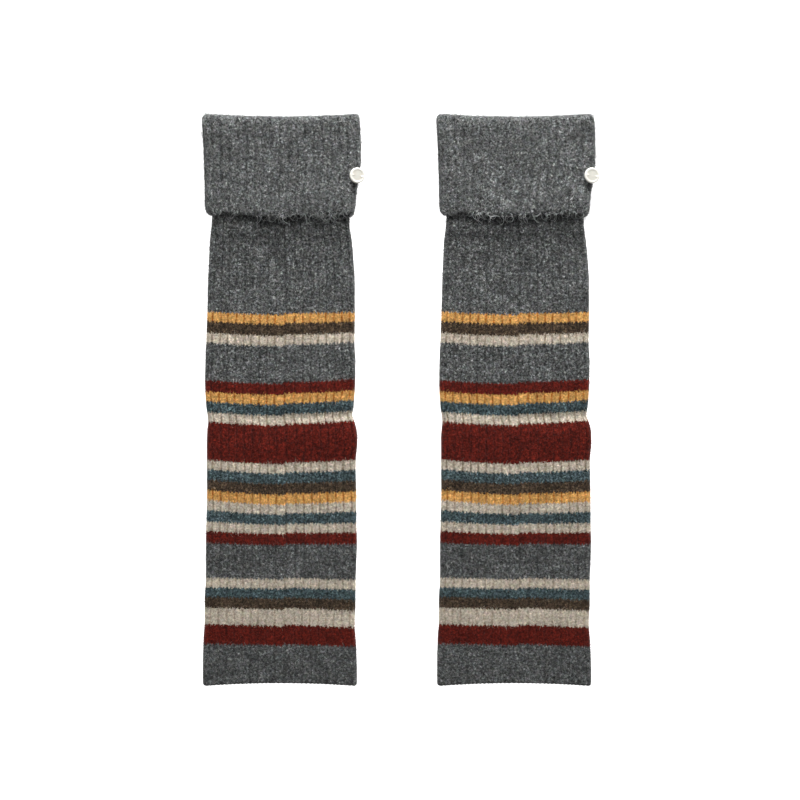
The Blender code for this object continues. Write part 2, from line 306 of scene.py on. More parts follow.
def wall_rows(*groups):
    """Stacks groups of (height, y offset, side inset, lower inset, upper inset, rib share)."""
    groups = [np.broadcast_arrays(*[np.atleast_1d(v).astype(float) for v in g]) for g in groups]
    return [np.concatenate(column)[:, None] for column in zip(*groups)]


def hem_rows(height, *angles):
    """Rings round the rounded edge of a hem: at an angle of 0 on the outside and 180 inside. The
    inset is half the wall times one minus the cosine, and the edge reaches down by the sine."""
    turn = np.radians(angles)
    inset = WALL * (1 - np.cos(turn)) / 2
    return height, -LIP * np.sin(turn), inset, inset, inset, (1 + np.cos(turn)) / 2


def rings(shape, seed, shares, rows):
    """The grid of points, in mm: the oval of each row, drawn in by its insets, puffed up, pushed
    outwards by the ribs and the stitches, and bent so that each course bows and tilts as its row
    says. The drift then moves the points of the upper panel a little over and along the cloth."""
    height, offset, side_in, low_in, high_in, ribbed = rows
    outline = shape.section_table
    left, right, bow, tilt, low, puff = (read_off(outline, c, height) for c in list(outline)[1:])
    inset, top = RIB_RISE + side_in, low + shape.flat_height - high_in
    x, z, out_x, out_z = flat_oval(shares, left + inset, right - inset, low + low_in, top)
    across = np.clip((2 * x - left - right) / (right - left), -1, 1)
    on_panel = np.clip(1.5 * out_z, 0, 1)
    z = z + puff * on_panel * smooth((across + 1) / PUFF_EASE)
    number = shape.ribs.number(shares)
    above = np.where(out_z >= 0, 1.0, np.clip(1 + out_z, 0, 1) ** 1.5)
    relief = RIB_RISE * rib_relief(number, shape.ribs.slope)
    relief = relief + STITCH_RISE * stitch_relief(number, height)
    relief = (relief + shape.relief(x, height, number, seed) * on_panel) * above * ribbed
    x, z = x + out_x * relief, z + out_z * relief
    scallop = 1 + np.where(offset < 0, SCALLOP, 0.0) * np.cos(4 * np.pi * number)
    over, along = shape.drift(x, height, seed)
    x = x + over * np.clip(out_z, 0, 1) ** 2
    y = height + along + offset * scallop + bow * (1 - across**2) + tilt * across / 2
    return np.stack([x, y, np.maximum(z, 0.0)], axis=-1)


# %% From a grid of points to a mesh with its own map
def make_mesh(name, points_mm, faces, knit_map=None, **marks):
    """A smooth-shaded mesh object at the origin, from points in mm and faces that all have as
    many corners. The map holds the rib number and the height at each corner of each face, and a
    mark is a number for each point. The faces are turned over if the volume that they enclose
    comes out negative."""
    knit_map = np.zeros((*faces.shape, 2)) if knit_map is None else knit_map
    a, b, c = (points_mm[faces[:, k]] for k in range(3))
    if np.einsum("ij,ij->i", a, np.cross(b, c)).sum() < 0:
        faces, knit_map = faces[:, ::-1], knit_map[:, ::-1]
    mesh = bpy.data.meshes.new(name)
    corners = faces.shape[1]
    mesh.vertices.add(len(points_mm))
    mesh.vertices.foreach_set("co", (points_mm * MM).astype(np.float32).ravel())
    mesh.loops.add(faces.size)
    mesh.loops.foreach_set("vertex_index", faces.astype(np.int32).ravel())
    mesh.polygons.add(len(faces))
    mesh.polygons.foreach_set("loop_start", np.arange(0, faces.size, corners, dtype=np.int32))
    mesh.update(calc_edges=True)
    mesh.shade_smooth()
    mesh.uv_layers.new(name="knit").data.foreach_set("uv", knit_map.astype(np.float32).ravel())
    for mark, values in marks.items():
        attribute = mesh.attributes.new(mark, "FLOAT", "POINT")
        attribute.data.foreach_set("value", values.astype(np.float32))
    piece = bpy.data.objects.new(name, mesh)
    bpy.context.scene.collection.objects.link(piece)
    print(name, "triangles:", len(faces) * (corners - 2))
    return piece


def knit_mesh(name, points, u_lines, v_lines, jog):
    """A mesh from a grid that closes both ways. u_lines and v_lines have one value more than the
    grid has columns and rows. jog lowers the map's height by a step for each column of faces."""
    rows, columns = points.shape[:2]
    row, column = np.arange(rows)[:, None], np.arange(columns)[None, :]
    faces, knit_map = [], []
    for r, c in ((0, 0), (0, 1), (1, 1), (1, 0)):
        faces.append((row + r) % rows * columns + (column + c) % columns)
        corner = np.broadcast_arrays(u_lines[column + c], v_lines[row + r] - jog)
        knit_map.append(np.stack(corner, axis=-1))
    faces = np.stack(faces, axis=-1).reshape(-1, 4)
    knit_map = np.stack(knit_map, axis=-2).reshape(-1, 4, 2)
    return make_mesh(name, points.reshape(-1, 3), faces, knit_map)


# %% [markdown]
# ## The legs
# The shown stretch has a ring for each half course, so that stitches can stand out of it. The
# stretch inside the cuff is never seen, so its rings are far apart. One soft crease runs across
# at knee height, deepest on the right, with a fold of loose cloth bulging just below it. Nothing
# here is simulated, as the cloth lies at rest and its creases are where the photograph has them.

# %% The soft creases of a leg
LEG_SWAY = 0.35  # how far the ribs wander
CREASE_EASE = 18.0  # a crease fades in and out over this much of its length

CREASES = table(
    """
    height depth width lean start end
    217.5 0.75 3.6 0 -10 70
    219.5 0.30 5.0 0.03 -75 -5
    334 0.30 7.0 -0.06 -40 55
    98 0.28 8.0 0.05 -60 30
    266 0.22 7.0 0.04 -70 10
    """
)


def leg_relief(x, height, number, seed):
    """What a leg's panel adds to its ribs: wool that felted in the grooves, most near the hem,
    the creases, each a trough across the panel, loose cloth below the main one, a hollow left of
    the seam near the cuff, soft unevenness, and a sunk line along the seam, rib number 0."""
    felted = RIB_RISE * (0.22 + 0.20 * smooth((120 - height) / 100))
    total = 0.22 * unevenness(x, height, seed)
    total = total + felted * (1 - rib_relief(number, LEG_RIBS.slope))
    for level, depth, width, lean, start, end in zip(*CREASES.values()):
        ease = smooth((x - start) / CREASE_EASE) * smooth((end - x) / CREASE_EASE)
        total = total - depth * ease * hill(height - level - lean * x, width)
    loose = 0.5 * smooth((x + 5) / 50) * hill(height - 203, 8)
    hollow = 0.8 * smooth((height - 292) / 30) * hill(x + 6, 13)
    stitches = 0.10 + 0.08 * np.cos(np.pi * height / COURSE)
    seam = hill(number, 0.09) * stitches + 0.10 * hill(number, 0.6)
    return total + loose - hollow - seam


def sway(x, height, seed):
    """The ribs of a hand-laid knit wander sideways, -1 to 1, in waves of 9 to 40 mm."""
    return unevenness(x, height, seed + 500, 9.0, 40.0)


def leg_drift(x, height, seed):
    """How far the points move over the cloth, and along it."""
    return LEG_SWAY * sway(x, height, seed), 0.0


# %% From a piece's shape to its cloth
RIB_PHASES = (0.0, 0.07, 0.15, 0.24, 0.34, 0.5, 0.66, 0.76, 0.85, 0.93)
UNDER_COLUMNS = 26  # of the grid, across the flat underside

Shape = namedtuple("Shape", "section_table flat_height ribs relief drift")
Cloth = namedtuple("Cloth", "piece points shares number heights jog shown")


def seam_steps(number, ribs, step):
    """How much higher the courses lie, for each column of faces: nothing left of the seam, a step
    right of it, and less and less round the underside until nothing is left."""
    middle = (number[1:] + number[:-1]) / 2
    under = (middle - ribs.end) / (ribs.start + ribs.count - ribs.end)
    return step * np.where(middle < 0, 0.0, 1 - np.clip(under, 0, 1))


def make_cloth(side, part, shape, seed, rows, heights, seam_step, shown):
    """The grid of points and its mesh, whose map takes the heights. shown is how many rings show."""
    ribs = shape.ribs
    shares = ribs.columns(RIB_PHASES, UNDER_COLUMNS)
    points = rings(shape, seed, shares, rows) + place_of(side)
    number = np.append(ribs.number(shares), ribs.start + ribs.count)
    heights = np.append(heights, heights[0])
    jog = seam_steps(number, ribs, seam_step)
    piece = knit_mesh(side + part, points, number, heights, jog)
    return Cloth(piece, points, shares, number, heights, jog, shown)


# %% Build both legs
SEAM_STEP = 1.3  # the stripes to the right of the seam lie this much higher
LEG_TOP, SHOWN_TO = LEG["height"][-1], 384.0


def build_leg(side, seed):
    """The leg's grid: rings round the hem, up the outside, and down the inside."""
    shown = np.arange(LIP, SHOWN_TO, COURSE / 2)
    hidden = np.linspace(SHOWN_TO + 4, LEG_TOP, 9)
    rows = wall_rows(
        hem_rows(LIP, 90, 60, 30),
        (np.concatenate([shown, hidden]), 0, 0, 0, 0, 1),
        (np.linspace(LEG_TOP, LIP, 14), 0, WALL, WALL, WALL, 0),
        hem_rows(LIP, 150, 120),
    )
    shape = Shape(LEG, LEG_FLAT, LEG_RIBS, leg_relief, leg_drift)
    return make_cloth(side, "_leg_knit", shape, seed, rows, rows[0][:, 0], SEAM_STEP, len(shown))


legs = both(build_leg, (11, 23))

# %% [markdown]
# ## The cuffs
# A cuff is the top of the same tube, turned down over itself. It shows the fabric's other side,
# its fold is a soft roll, and its edge hangs a little lower in the middle. It could be one mesh
# with the leg, but the solids part them inside the opening, where nobody looks.

# %% The fold of a cuff
def fold_rows(angles):
    """Rings over the fold: a turn draws the sides, top and underside in by one minus the cosine,
    and carries the ring forward by the sine."""
    turn = np.radians(angles)
    drawn = 1 - np.cos(turn)
    below, above = (LEG_LIFT + WALL) / 2, (CUFF_FLAT - LEG_LIFT - WALL - SLIT) / 2
    insets = (FOLD_SIDE_RADIUS * drawn, below * drawn, above * drawn)
    return (FOLD_AT, FOLD_RADIUS * np.sin(turn), *insets, np.cos(turn / 2) ** 2)


# %% The unevenness of a cuff and of its lower edge
CUFF_SWAY = 0.45
EDGE_FADE = 30.0  # the edge's unevenness fades out within this height
EDGE = table(
    """
    across rise
    -61 -1.8
    -54 -2.0
    -46 0.6
    -40 0.9
    -33 0.2
    -22 -0.5
    -9 -0.9
    4 -0.3
    11 0.2
    20 0.2
    42 -0.5
    48 -0.3
    53 -3.4
    57 -3.4
    """
)


def cuff_relief(x, height, number, seed):
    """Soft unevenness, a hollow at the right of the top, and a fullness near the lower edge."""
    hollow = 0.8 * hill(x - 44, 16) * hill(height - 437, 14)
    fullness = 0.35 * hill(x - 12, 40) * hill(height - 384, 10)
    return 0.26 * unevenness(x, height, seed, shortest=16.0) - hollow + fullness


def cuff_drift(x, height, seed):
    """The sway of the ribs, and how far the lower edge is pulled up or hangs down."""
    near = smooth((EDGE_AT - height) / EDGE_FADE + 1)
    return CUFF_SWAY * sway(x, height, seed), near * read_off(EDGE, "rise", x)


# %% Build both cuffs
FOLD_STEPS = 13  # rings over the fold, of which about half are on top


def build_cuff(side, seed):
    """The cuff's grid: rings round its edge, up the outside, over the fold, and back down."""
    shown = np.arange(EDGE_AT, FOLD_AT, COURSE / 2)
    inside = np.append(np.linspace(FOLD_AT, EDGE_AT + 8, 6), EDGE_AT + np.array([5.0, 2.5, 0.0]))
    rows = wall_rows(
        hem_rows(EDGE_AT, 90, 60, 30),
        (shown, 0, 0, 0, 0, 1),
        fold_rows(np.linspace(0, 180, FOLD_STEPS)),
        (inside, 0, WALL, WALL, WALL, 0),
        hem_rows(EDGE_AT, 150, 120),
    )
    heights = (rows[0] + rows[1])[:, 0]
    on_top = len(shown) + FOLD_STEPS // 2 + 1
    shape = Shape(CUFF, CUFF_FLAT, CUFF_RIBS, cuff_relief, cuff_drift)
    return make_cloth(side, "_cuff_knit", shape, seed, rows, heights, 0.0, on_top)


cuffs = both(build_cuff, (37, 53))

# %% [markdown]
# ## Loose fibres
# Brushed wool is covered with fibres that have worked loose. A hair system could grow them, but
# it doesn't export, so each one is a closed spindle with three sides and pointed ends. They mostly
# lie on the cloth and curl, and they hide the sharp edge that a plain mesh would have.

# %% Roots, paths and spindles
def unit(vectors):
    """The same directions with a length of 1."""
    return vectors / (np.linalg.norm(vectors, axis=-1, keepdims=True) + 1e-9)


def roots(cloth, row, share):
    """The point at a row and a share of the top panel, blended from the four grid points round
    it, the ways over the cloth, along it and out of it, the rib number and the height."""
    top = np.searchsorted(cloth.shares, 1.0, side="right")
    column = np.interp(share, cloth.shares[:top], np.arange(top))
    r, c = np.floor(row).astype(int), np.minimum(np.floor(column).astype(int), top - 2)
    up, over = (row - r)[:, None], (column - c)[:, None]
    grid = cloth.points
    a, b, d, e = grid[r, c], grid[r, c + 1], grid[r + 1, c], grid[r + 1, c + 1]
    point = (a * (1 - over) + b * over) * (1 - up) + (d * (1 - over) + e * over) * up
    across = unit(b - a + e - d)
    out = unit(np.cross(across, d - a + e - b))
    ways = np.stack([across, np.cross(out, across), out], axis=1)
    number = np.interp(column, np.arange(len(cloth.number)), cloth.number)
    height = np.interp(row, np.arange(len(cloth.heights)), cloth.heights)
    return point, ways, number, height - cloth.jog[c]


def curls(root, ways, length, heading, curl, lift):
    """Paths of fibres: steps along the cloth whose heading turns evenly by curl, while the height
    over the root follows lift, a row of heights for each fibre."""
    steps = lift.shape[1] - 1
    turned = heading[:, None] + curl[:, None] * np.arange(steps) / steps
    step = np.stack([np.cos(turned), np.sin(turned)], axis=-1) * (length / steps)[:, None, None]
    flat = np.pad(np.cumsum(step, axis=1), ((0, 0), (1, 0), (0, 0)))
    return root[:, None] + np.concatenate([flat, lift[..., None]], axis=-1) @ ways


def tube_faces(rings, around):
    """The triangles of a closed tube, whose points are a start, rings of so many points around,
    and an end: a fan at both ends, and two triangles for each side between two rings."""
    k = np.arange(around)
    following = (k + 1) % around
    low = (1 + around * np.arange(rings - 1))[:, None]
    high, last = low + around, 1 + around * (rings - 1)
    triangles = (
        (0 * k, 1 + following, 1 + k),
        (low + k, low + following, high + following),
        (low + k, high + following, high + k),
        (0 * k + last + around, last + k, last + following),
    )
    return np.concatenate([np.stack(corners, axis=-1).reshape(-1, 3) for corners in triangles])


def spindles(name, paths, thickness, number, height, tone):
    """Joins closed fibres into one mesh: a point at both ends of a path, and a ring of three
    points, thickness across, round each point between. The thickness is one number, or one for
    each fibre."""
    count, steps = paths.shape[:2]
    ahead = np.gradient(paths, axis=1)[:, 1:-1]
    side = unit(np.cross(ahead, [0.0, 0.31, 0.95]))
    over = np.cross(side, unit(ahead))
    turn = (2 * np.pi * np.arange(3) / 3)[:, None]
    spoke = np.cos(turn) * side[:, :, None] + np.sin(turn) * over[:, :, None]
    ring = paths[:, 1:-1, None] + np.reshape(thickness, (-1, 1, 1, 1)) / 2 * spoke
    points = np.concatenate([paths[:, :1], ring.reshape(count, -1, 3), paths[:, -1:]], axis=1)
    per = points.shape[1]
    points = points.reshape(-1, 3)
    points[:, 2] = np.maximum(points[:, 2], 0.05)
    one = tube_faces(steps - 2, 3)
    faces = (per * np.arange(count)[:, None, None] + one).reshape(-1, 3)
    knit_map = np.stack([number, height], axis=-1).repeat(len(one), axis=0)[:, None]
    return make_mesh(name, points, faces, knit_map * np.ones((3, 1)), tone=np.repeat(tone, per))


# %% The nap of a piece of cloth
HEM_ROWS = 3  # rings before the shown ones
FIBRE = 0.15  # how thick a fibre is
LOW, GROWS = (-0.15, 0.25, 0.25, -0.1), (0.0, 0.5, 0.9, 1.0)  # how high its points are, by lift
AT_LEFT, AT_RIGHT, AT_TOP = 0.05, 0.06, 0.10  # the shares of the nap that crowd there
TOP_ROWS = 9  # those at the top stand on so many rows, and are painted lighter there as a highlight
LEG_NAP = dict(count=12000, shortest=2.2, longest=5.0, lift=1.0)
CUFF_NAP = dict(count=6000, shortest=2.5, longest=6.5, lift=1.5)


def nap(side, seed, part, cloths, count, shortest, longest, lift):
    """Fibres all over the shown panel, closer together at its sides and its top row, where they
    show against the table. A fibre rises from its root by up to lift, and most have a lighter
    tone than the yarn. Those on the top rows are lighter still: a painted highlight for the light
    on the cuff's fold."""
    cloth, rng = cloths[side], np.random.default_rng(seed)
    reach = cloth.shown - 1.01  # a root lies between two rows
    row = HEM_ROWS + rng.uniform(0, reach, count)
    share, place = rng.uniform(0, 1, count), rng.uniform(0, 1, count)
    beside = np.abs(rng.normal(0.0, 0.025, count))
    share = np.where(place < AT_LEFT + AT_RIGHT, 1 - beside, share)
    share = np.where(place < AT_LEFT, beside, share)
    last = HEM_ROWS + reach
    row = np.where(place > 1 - AT_TOP, last - np.minimum(100 * beside, TOP_ROWS), row)
    point, ways, number, height = roots(cloth, row, share)
    length = rng.uniform(shortest, longest, count)
    heading, curl = rng.uniform(0, 2 * np.pi, count), rng.normal(0, 1.3, count)
    top = lift * rng.uniform(0.15, 1.0, count) ** 2
    paths = curls(point, ways, length, heading, curl, LOW + np.outer(top, GROWS))
    # painted highlight: fibres on the top rows get a tone 1.1 higher, for the light on the cuff's fold
    tone = rng.normal(0.4, 0.65, count) + np.where(row > last - TOP_ROWS, 1.1, 0.0)
    return spindles(side + part, paths, FIBRE, number, height, tone)


leg_naps = both(nap, (101, 102), "_leg_nap", legs, **LEG_NAP)
cuff_naps = both(nap, (103, 104), "_cuff_nap", cuffs, **CUFF_NAP)

# %% Curly strays along the lower edge of a cuff
LEG_TOP_HERE = LEG_LIFT + LEG_FLAT + RIB_RISE - 0.2  # how high the leg is at the edge of its cuff
TUFTS = (0.30, 0.52, 0.66, 0.78, 0.90)  # where they hang, as shares of the panel's width


def strays(side, seed, count=72):
    """Long pale curls that hang from the edge, mostly in the middle and on the right. Each one
    falls from its root to the cloth of the leg, on which it lies."""
    rng = np.random.default_rng(seed)
    share = rng.choice(TUFTS, count) + rng.normal(0, 0.08, count)
    row = rng.uniform(1.0, 5.0, count)
    point, _, number, height = roots(cuffs[side], row, np.clip(share, 0.02, 0.98))
    length = rng.uniform(4.5, 10.5, count)
    curl = rng.choice([-1, 1], count) * rng.uniform(1.0, 4.5, count)
    heading = rng.normal(-np.pi / 2, 0.7, count) - curl / 3
    share_along = np.linspace(0, 1, 12)
    top = rng.uniform(0.8, 2.6, count)[:, None]
    fall = (point[:, 2:] - LEG_TOP_HERE) * smooth(1.1 * share_along)
    lifts = top * np.sin(np.pi * share_along) - fall
    paths = curls(point, np.eye(3), length, heading, curl, lifts)
    thickness, tone = rng.uniform(0.22, 0.42, count), rng.uniform(1.7, 2.9, count)
    return spindles(side + "_cuff_strays", paths, thickness, number, height, tone)


cuff_strays = both(strays, (105, 106))

# %% [markdown]
# ## The buttons
# A shank button is turned, like a bowl: a profile spun round an axis. Its rim stands round a
# bare, shallow dish, and reaches into it with two small lugs. It sits on a short neck of wound
# sewing thread, which here is one closed tube along a helix. The button could be a squashed
# cylinder, but then its rim would not catch the light.

# %% A turned profile and a wound thread
BUTTON_PLACE = np.array([58.9, 407.5, 11.8])  # the middle of its back
BUTTON_LEAN, BUTTON_TIP = np.radians(12.0), np.radians(4.0)
BUTTON_RADIUS, BUTTON_THICKNESS, BUTTON_EDGE = 6.35, 2.6, 0.9
DISH_RADIUS, DISH_DEPTH, DISH_SLOPE, DISH_DOME = 4.9, 0.22, 0.9, 0.04
LUGS, LUG_WIDTH, LUG_REACH = (172.0, -14.0), 15.0, 1.7  # degrees, degrees and mm
SHANK_RADIUS, SHANK_LENGTH = 1.6, 0.9
UP = np.array([0.0, 0.0, 1.0])


def leaning(points, side):
    """Turns points back by tip about x, then by lean about y, and moves them to their place."""
    turn = Matrix.Rotation(BUTTON_LEAN, 3, "Y") @ Matrix.Rotation(-BUTTON_TIP, 3, "X")
    return points @ np.array(turn).T + BUTTON_PLACE + place_of(side)


def arc(centre_r, centre_z, radius, start, end, steps):
    """Points of an arc in the profile's plane: the centre plus radius times (cos, sin)."""
    turn = np.radians(np.linspace(start, end, steps))
    return np.stack([centre_r + radius * np.cos(turn), centre_z + radius * np.sin(turn)], axis=-1)


def lug_reach(turn):
    """How far the dish's edge is drawn in, in mm: a smooth bump round the angle of each lug."""
    off = np.degrees(turn)[:, None] - np.array(LUGS)
    off = (off + 180) % 360 - 180
    return LUG_REACH * smooth(1.6 - 1.6 * np.abs(off) / LUG_WIDTH).sum(axis=1)


def turned(side, profile, segments=72):
    """Spins a profile of (radius, height, share of the lugs, how sunk) round z, closed by a point
    on the axis at both ends. How sunk a point lies is kept for the finish, which paints the rim
    paler than the dish as a highlight."""
    turn = 2 * np.pi * np.arange(segments) / segments
    radius, height, lugs, sunk = profile.T[..., None] * np.ones(segments)
    radius = radius - lugs * lug_reach(turn)
    spun = np.stack([radius * np.cos(turn), radius * np.sin(turn), height], axis=-1)
    poles = profile[[0, -1], 1][:, None] * UP
    points = np.concatenate([poles[:1], spun.reshape(-1, 3), poles[1:]])
    faces, sunk = tube_faces(len(profile), segments), np.pad(sunk.ravel(), 1, "edge")
    return make_mesh(side + "_button_turned", leaning(points, side), faces, sunk=sunk)


# %% The button and its thread
def button(side):
    """The profile: back, rounded edge, the rim's crown, the slope into the dish, and its floor,
    which is very slightly domed."""
    rim, top, bare = BUTTON_RADIUS - BUTTON_EDGE, BUTTON_THICKNESS, DISH_RADIUS - DISH_SLOPE
    outside = np.concatenate(
        [
            [[1.0, 0.0], [3.0, 0.0], [rim - 0.4, 0.0]],
            arc(rim, BUTTON_EDGE, BUTTON_EDGE, -90, 0, 7),
            arc(rim, top - BUTTON_EDGE, BUTTON_EDGE, 0, 90, 8),
        ]
    )
    radius = np.append(np.linspace(DISH_RADIUS, bare, 7), np.linspace(bare, 0.3, 6)[1:])
    dome = np.where(radius < bare, DISH_DOME * (1 - radius / 4.1), 0.0)
    height = top - DISH_DEPTH * smooth((DISH_RADIUS - radius) / DISH_SLOPE) + dome
    lugs, sunk = np.clip(radius / bare, 0, 1), np.clip((top - height) / DISH_DEPTH, 0, 1)
    dish = np.stack([radius, height, lugs, sunk], axis=-1)
    profile = np.concatenate([np.pad(outside, ((0, 0), (0, 2))), dish])
    return turned(side, profile)


def wound_thread(side, turns=3.5, thread=0.34, count=90):
    """A closed tube along a helix: rings of six points, thread across, and a point at each end."""
    share = np.linspace(0, 1, count)[:, None]
    turn = 2 * np.pi * turns * share
    radius = SHANK_RADIUS - thread / 2
    low, high = -SHANK_LENGTH + thread / 2 + 0.02, -thread / 2 - 0.02
    outward = np.concatenate([np.cos(turn), np.sin(turn), 0 * turn], axis=1)
    middle = radius * outward + (low + (high - low) * share) * UP
    around = (2 * np.pi * np.arange(6) / 6)[:, None]
    ring = thread / 2 * (np.cos(around) * outward[:, None] + np.sin(around) * UP)
    points = np.concatenate([middle[:1], (middle[:, None] + ring).reshape(-1, 3), middle[-1:]])
    return make_mesh(side + "_button_thread", leaning(points, side), tube_faces(count, 6))


buttons = {side: button(side) for side in SIDES}
threads = {side: wound_thread(side) for side in SIDES}

# %% [markdown]
# ## Yarn colours
# Colour names on a shade card are what the eye sees, so they are kept as the numbers that a
# screen shows, and turned into linear light here. Melange yarn is spun from fibres of several
# shades: each colour also says how strongly its flecks show.

# %% The shade card and the chart of stripes
SHADES = {
    "charcoal": ((77.2, 78.7, 78.3), 0.78),
    "amber": ((193, 146, 83), 0.34),
    "brown": ((62, 51, 40), 0.70),
    "cream": ((178, 168, 153), 0.34),
    "brick": ((82, 22, 14), 0.54),
    "teal": ((59, 72, 75), 0.76),
}
STRIPES = """
    32.0 charcoal   47.6 brick   60.4 cream   69.2 brown   77.2 teal   84.8 cream
    113.2 charcoal   122.8 brick   130.4 cream   139.6 teal   147.6 cream   155.2 amber
    164.0 brown   172.4 teal   180.0 cream   211.2 brick   218.8 cream   227.6 teal
    235.2 amber   244.4 brick   274.0 charcoal   281.6 cream   290.8 brown   298.0 amber
    600.0 charcoal
""".split()  # the height where each stripe ends, and its shade
CHART = [(float(top), shade) for top, shade in zip(STRIPES[::2], STRIPES[1::2])]


def linear(shade, lighter=1.0, alpha=1.0):
    """Screen values, 0 to 255, as linear light: (v + 0.055) / 1.055 to the power 2.4."""
    v = np.array(shade) / 255
    light = np.where(v <= 0.04045, v / 12.92, ((v + 0.055) / 1.055) ** 2.4)
    return (*np.clip(light * lighter, 0, 1).tolist(), alpha)


print("stripes:", len(CHART), "in", len(SHADES), "colours")

# %% [markdown]
# ## Small tools for node trees
# A finish is a recipe of nodes. Each line below adds one node and links what it is given, so that
# a recipe reads from top to bottom like arithmetic.

# %% Node helpers
class Recipe:
    """Adds nodes to a material. Inputs are numbers, colours or other nodes' outputs."""

    def __init__(self, name):
        self.material = bpy.data.materials.new(name)
        self.material.use_nodes = True
        self.tree = self.material.node_tree
        self.shader = self.tree.nodes["Principled BSDF"]
        self.where = self.scaled(self.add("ShaderNodeTexCoord", output="Object"), 1 / MM)

    def add(self, kind, inputs=(), settings=(), output=0):
        node = self.tree.nodes.new(kind)
        for name, value in dict(settings).items():
            setattr(node, name, value)
        for key, value in dict(inputs).items():
            self.put(node.inputs[key], value)
        return node.outputs[output]

    def put(self, socket, value):
        if isinstance(value, bpy.types.NodeSocket):
            self.tree.links.new(value, socket)
        else:
            socket.default_value = value

    def finish(self, inputs):
        """Gives the shader its inputs, and hands the material over."""
        for name, value in inputs.items():
            self.put(self.shader.inputs[name], value)
        return self.material

    def mark(self, name):
        return self.add("ShaderNodeAttribute", (), {"attribute_name": name}, output="Fac")

    def scaled(self, vector, factor):
        return self.add("ShaderNodeVectorMath", {0: vector, "Scale": factor}, {"operation": "SCALE"})

    def calc(self, operation, a, b=0.0, c=0.0):
        return self.add("ShaderNodeMath", {0: a, 1: b, 2: c}, {"operation": operation})

    def line(self, x, slope, start):
        """Slope times x, plus start."""
        return self.calc("MULTIPLY_ADD", x, slope, start)

    def sum(self, *values):
        return reduce(lambda a, b: self.calc("ADD", a, b), values)

    def product(self, *values):
        return reduce(lambda a, b: self.calc("MULTIPLY", a, b), values)

    def bump(self, height, distance_mm, strength=1.0, **below):
        inputs = {"Height": height, "Distance": distance_mm * MM, "Strength": strength, **below}
        return self.add("ShaderNodeBump", inputs)

    def blend(self, share, a, b):
        """Colour a, or b where the share is 1. In a Mix node, sockets 6 and 7 are the colours."""
        return self.add("ShaderNodeMix", {0: share, 6: a, 7: b}, {"data_type": "RGBA"}, output=2)

    def ease(self, value, low, high, to_low=0.0, to_high=1.0):
        inputs = {"Value": value, "From Min": low, "From Max": high, "To Min": to_low, "To Max": to_high}
        return self.add("ShaderNodeMapRange", inputs, {"interpolation_type": "SMOOTHSTEP"})

    def noise(self, scale, detail=2.0, roughness=0.5, distortion=0.0, seed=0.0, output=0):
        """Noise with that many waves to the millimetre, somewhere else for each seed."""
        shift = (seed, 0.7 * seed, 0.3 * seed)
        place = self.add("ShaderNodeVectorMath", {0: self.where, 1: shift}, {"operation": "ADD"})
        inputs = {"Vector": place, "Scale": scale, "Detail": detail, "Roughness": roughness}
        return self.add("ShaderNodeTexNoise", {**inputs, "Distortion": distortion}, output=output)

    def swing(self, reach, *noise, seed):
        """Noise from minus to plus the reach."""
        return self.line(self.noise(*noise, seed=seed), 2 * reach, -reach)

    def strands(self, scale, width, seed, distortion=1.6):
        """Curly lines: 1 where a distorted noise crosses its middle value, falling to 0 beside."""
        wave = self.noise(scale, 1.5, 0.55, distortion, seed)
        off = self.calc("ABSOLUTE", self.calc("SUBTRACT", wave, 0.5))
        return self.ease(off, 0.0, width, 1.0, 0.0)


# %% [markdown]
# ## Stripes
# A colour ramp can hold a whole chart of stripes, but Blender keeps only 256 samples of a ramp, so
# over the full height every edge would land up to 2 mm off. Three ramps share the chart instead,
# and its heights are whole multiples of the distance between two samples.

# %% The chart as colour ramps
SAMPLES = 255
CHART_STEP = 0.4  # mm of height between two samples of a ramp
RAMP_REACH = SAMPLES * CHART_STEP


def striped(r, chart, height, lighter):
    """The colour and the fleck strength at a height, from one ramp after another."""
    tops = np.array([top for top, _ in chart])
    colour = fleck = None
    for start in np.arange(0.0, tops[:-1].max(initial=1.0), RAMP_REACH):
        share = r.calc("DIVIDE", r.calc("SUBTRACT", height, float(start)), RAMP_REACH)
        part = r.add("ShaderNodeValToRGB", {0: share})
        ramp = part.node.color_ramp
        ramp.interpolation = "CONSTANT"
        first = int(np.searchsorted(tops, start, side="right"))
        for k in range(first, len(chart)):
            bottom = (tops[k - 1] - start) / CHART_STEP if k > first else 0.5
            if bottom > SAMPLES:
                break
            stop = ramp.elements[0] if k == first else ramp.elements.new((bottom - 0.5) / SAMPLES)
            shade, strength = SHADES[chart[k][1]]
            stop.color = linear(shade, lighter, strength)
        ramp.elements.remove(ramp.elements[-1])
        alpha = part.node.outputs["Alpha"]
        if colour is None:
            colour, fleck = part, alpha
            continue
        reached = r.calc("GREATER_THAN", height, float(start))
        colour = r.blend(reached, colour, part)
        fleck = r.line(reached, r.calc("SUBTRACT", alpha, fleck), fleck)
    return colour, fleck


# %% [markdown]
# ## The wool
# Wool is rough and dull, with a soft light edge where fibres stand up, which the sheen gives. The
# stripes change colour stitch by stitch: a V stitch is lowest in the middle of its wale, so every
# edge is a row of small teeth. The heather is worked out on Object coordinates, which have no
# seam, and the stitches and stripes on the map of rib numbers and heights.

# %% Wool, for the cloth and for the fibres on it
TOOTH = 1.1  # how far a stripe's edge rises beside the middle of a wale
TINT = 0.15  # how strongly the shade wanders to other hues
DULL = {"Roughness": 0.92, "Specular IOR Level": 0.10}
SHEEN = {"Sheen Weight": 0.10, "Sheen Roughness": 0.45}


